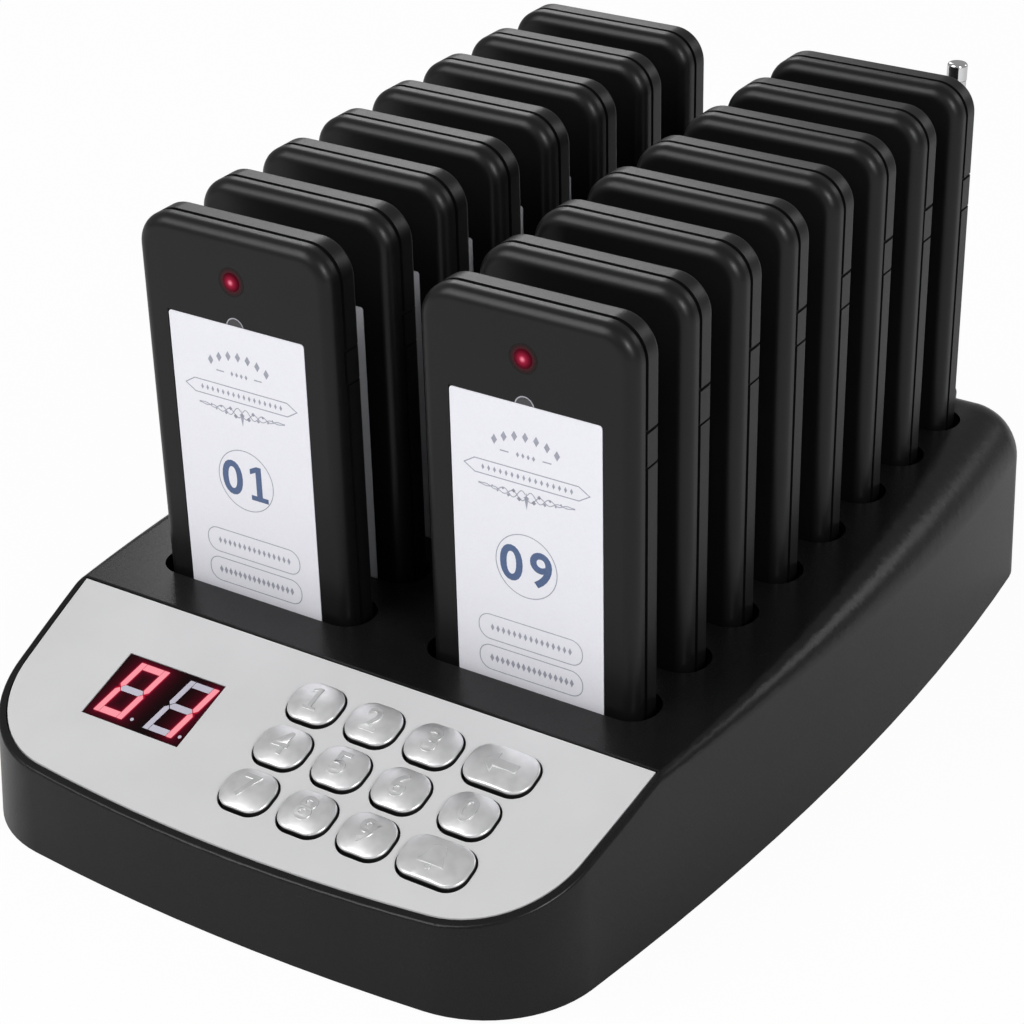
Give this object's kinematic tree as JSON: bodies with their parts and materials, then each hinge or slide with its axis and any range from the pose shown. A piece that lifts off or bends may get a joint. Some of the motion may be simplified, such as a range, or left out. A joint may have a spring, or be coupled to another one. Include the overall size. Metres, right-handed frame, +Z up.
{
  "type": "guest pager system",
  "caption": "Keypad transmitter on a charging base, with flat guest pagers standing upright in two columns of slots and a folding antenna.",
  "frame": {"origin": "on the surface it stands on, at the centre of the base's outline", "axes": "+X to the right as the keypad is used, +Y from the keypad to the back, +Z up"},
  "size_m": [0.1756, 0.259, 0.1422],
  "materials": {
    "case_black": "satin, finely grained",
    "plate_silver": "satin",
    "window_dark": "polished",
    "display_black": "matte",
    "key_silver": "satin lacquer",
    "sheet_grey": "matte",
    "board_green": "satin",
    "contact_gold": "polished",
    "foot_rubber": "matte",
    "screw_steel": "black oxide",
    "inlet_black": "matte",
    "rocker_black": "gloss",
    "pager_black": "satin",
    "antenna_chrome": "polished"
  },
  "bodies": {
    "base": {"top_housing": "case_black", "bottom_cover": "case_black", "control_panel": "plate_silver", "display_window": "window_dark", "display_module": "display_black", "keypad_sheet": "sheet_grey", "main_board": "board_green", "charge_boards": "board_green", "charge_contacts": "contact_gold", "rubber_feet": "foot_rubber", "case_screws": "screw_steel", "power_inlet": "inlet_black"},
    "key_1": {"key_1": "key_silver"},
    "key_2": {"key_2": "key_silver"},
    "key_3": {"key_3": "key_silver"},
    "key_delete": {"key_delete": "key_silver"},
    "key_4": {"key_4": "key_silver"},
    "key_5": {"key_5": "key_silver"},
    "key_6": {"key_6": "key_silver"},
    "key_0": {"key_0": "key_silver"},
    "key_7": {"key_7": "key_silver"},
    "key_8": {"key_8": "key_silver"},
    "key_9": {"key_9": "key_silver"},
    "key_call": {"key_call": "key_silver"},
    "pager_01": {"pager_01_front_shell": "pager_black", "pager_01_back_shell": "pager_black"},
    "pager_02": {"pager_02_front_shell": "pager_black", "pager_02_back_shell": "pager_black"},
    "pager_03": {"pager_03_front_shell": "pager_black", "pager_03_back_shell": "pager_black"},
    "pager_04": {"pager_04_front_shell": "pager_black", "pager_04_back_shell": "pager_black"},
    "pager_05": {"pager_05_front_shell": "pager_black", "pager_05_back_shell": "pager_black"},
    "pager_06": {"pager_06_front_shell": "pager_black", "pager_06_back_shell": "pager_black"},
    "pager_07": {"pager_07_front_shell": "pager_black", "pager_07_back_shell": "pager_black"},
    "pager_08": {"pager_08_front_shell": "pager_black", "pager_08_back_shell": "pager_black"},
    "pager_09": {"pager_09_front_shell": "pager_black", "pager_09_back_shell": "pager_black"},
    "pager_10": {"pager_10_front_shell": "pager_black", "pager_10_back_shell": "pager_black"},
    "pager_11": {"pager_11_front_shell": "pager_black", "pager_11_back_shell": "pager_black"},
    "pager_12": {"pager_12_front_shell": "pager_black", "pager_12_back_shell": "pager_black"},
    "pager_13": {"pager_13_front_shell": "pager_black", "pager_13_back_shell": "pager_black"},
    "pager_14": {"pager_14_front_shell": "pager_black", "pager_14_back_shell": "pager_black"},
    "pager_15": {"pager_15_front_shell": "pager_black", "pager_15_back_shell": "pager_black"},
    "pager_16": {"pager_16_front_shell": "pager_black", "pager_16_back_shell": "pager_black"},
    "power_rocker": {"power_switch": "rocker_black"},
    "antenna_foot": {"antenna_swivel": "case_black"},
    "antenna_tube": {"antenna_mast": "antenna_chrome"},
    "antenna_rod": {"antenna_tip": "antenna_chrome"}
  },
  "joints": [
    {"name": "press_1", "type": "slide", "parent": "base", "child": "key_1", "axis": [0, 0.3371, -0.9415], "range_m": [0, 0.0012], "stiffness_N_per_m": 300},
    {"name": "press_2", "type": "slide", "parent": "base", "child": "key_2", "axis": [0, 0.3371, -0.9415], "range_m": [0, 0.0012], "stiffness_N_per_m": 300},
    {"name": "press_3", "type": "slide", "parent": "base", "child": "key_3", "axis": [0, 0.3371, -0.9415], "range_m": [0, 0.0012], "stiffness_N_per_m": 300},
    {"name": "press_delete", "type": "slide", "parent": "base", "child": "key_delete", "axis": [0, 0.3371, -0.9415], "range_m": [0, 0.0012], "stiffness_N_per_m": 300},
    {"name": "press_4", "type": "slide", "parent": "base", "child": "key_4", "axis": [0, 0.3371, -0.9415], "range_m": [0, 0.0012], "stiffness_N_per_m": 300},
    {"name": "press_5", "type": "slide", "parent": "base", "child": "key_5", "axis": [0, 0.3371, -0.9415], "range_m": [0, 0.0012], "stiffness_N_per_m": 300},
    {"name": "press_6", "type": "slide", "parent": "base", "child": "key_6", "axis": [0, 0.3371, -0.9415], "range_m": [0, 0.0012], "stiffness_N_per_m": 300},
    {"name": "press_0", "type": "slide", "parent": "base", "child": "key_0", "axis": [0, 0.3371, -0.9415], "range_m": [0, 0.0012], "stiffness_N_per_m": 300},
    {"name": "press_7", "type": "slide", "parent": "base", "child": "key_7", "axis": [0, 0.3371, -0.9415], "range_m": [0, 0.0012], "stiffness_N_per_m": 300},
    {"name": "press_8", "type": "slide", "parent": "base", "child": "key_8", "axis": [0, 0.3371, -0.9415], "range_m": [0, 0.0012], "stiffness_N_per_m": 300},
    {"name": "press_9", "type": "slide", "parent": "base", "child": "key_9", "axis": [0, 0.3371, -0.9415], "range_m": [0, 0.0012], "stiffness_N_per_m": 300},
    {"name": "press_call", "type": "slide", "parent": "base", "child": "key_call", "axis": [0, 0.3371, -0.9415], "range_m": [0, 0.0012], "stiffness_N_per_m": 300},
    {"name": "lift_01", "type": "slide", "parent": "base", "child": "pager_01", "axis": [0, -0.0401, 0.9992], "range_m": [0, 0.11]},
    {"name": "lift_02", "type": "slide", "parent": "base", "child": "pager_02", "axis": [0, -0.0401, 0.9992], "range_m": [0, 0.11]},
    {"name": "lift_03", "type": "slide", "parent": "base", "child": "pager_03", "axis": [0, -0.0401, 0.9992], "range_m": [0, 0.11]},
    {"name": "lift_04", "type": "slide", "parent": "base", "child": "pager_04", "axis": [0, -0.0401, 0.9992], "range_m": [0, 0.11]},
    {"name": "lift_05", "type": "slide", "parent": "base", "child": "pager_05", "axis": [0, -0.0401, 0.9992], "range_m": [0, 0.11]},
    {"name": "lift_06", "type": "slide", "parent": "base", "child": "pager_06", "axis": [0, -0.0401, 0.9992], "range_m": [0, 0.11]},
    {"name": "lift_07", "type": "slide", "parent": "base", "child": "pager_07", "axis": [0, -0.0401, 0.9992], "range_m": [0, 0.11]},
    {"name": "lift_08", "type": "slide", "parent": "base", "child": "pager_08", "axis": [0, -0.0401, 0.9992], "range_m": [0, 0.11]},
    {"name": "lift_09", "type": "slide", "parent": "base", "child": "pager_09", "axis": [0, -0.0401, 0.9992], "range_m": [0, 0.11]},
    {"name": "lift_10", "type": "slide", "parent": "base", "child": "pager_10", "axis": [0, -0.0401, 0.9992], "range_m": [0, 0.11]},
    {"name": "lift_11", "type": "slide", "parent": "base", "child": "pager_11", "axis": [0, -0.0401, 0.9992], "range_m": [0, 0.11]},
    {"name": "lift_12", "type": "slide", "parent": "base", "child": "pager_12", "axis": [0, -0.0401, 0.9992], "range_m": [0, 0.11]},
    {"name": "lift_13", "type": "slide", "parent": "base", "child": "pager_13", "axis": [0, -0.0401, 0.9992], "range_m": [0, 0.11]},
    {"name": "lift_14", "type": "slide", "parent": "base", "child": "pager_14", "axis": [0, -0.0401, 0.9992], "range_m": [0, 0.11]},
    {"name": "lift_15", "type": "slide", "parent": "base", "child": "pager_15", "axis": [0, -0.0401, 0.9992], "range_m": [0, 0.11]},
    {"name": "lift_16", "type": "slide", "parent": "base", "child": "pager_16", "axis": [0, -0.0401, 0.9992], "range_m": [0, 0.11]},
    {"name": "rocker", "type": "hinge", "parent": "base", "child": "power_rocker", "pos_m": [0.006, 0.1246, 0.017], "axis": [1, 0, 0], "range_deg": [-16, 0]},
    {"name": "antenna_turn", "type": "hinge", "parent": "base", "child": "antenna_foot", "pos_m": [0.0538, 0.1186, 0.05], "axis": [0, 0, 1], "range_deg": [-90, 90]},
    {"name": "antenna_tilt", "type": "hinge", "parent": "antenna_foot", "child": "antenna_tube", "pos_m": [0.0538, 0.1186, 0.0569], "axis": [-1, 0, 0], "range_deg": [0, 90]},
    {"name": "antenna_extend", "type": "slide", "parent": "antenna_tube", "child": "antenna_rod", "axis": [0, 0, 1], "range_m": [0, 0.05]}
  ]
}
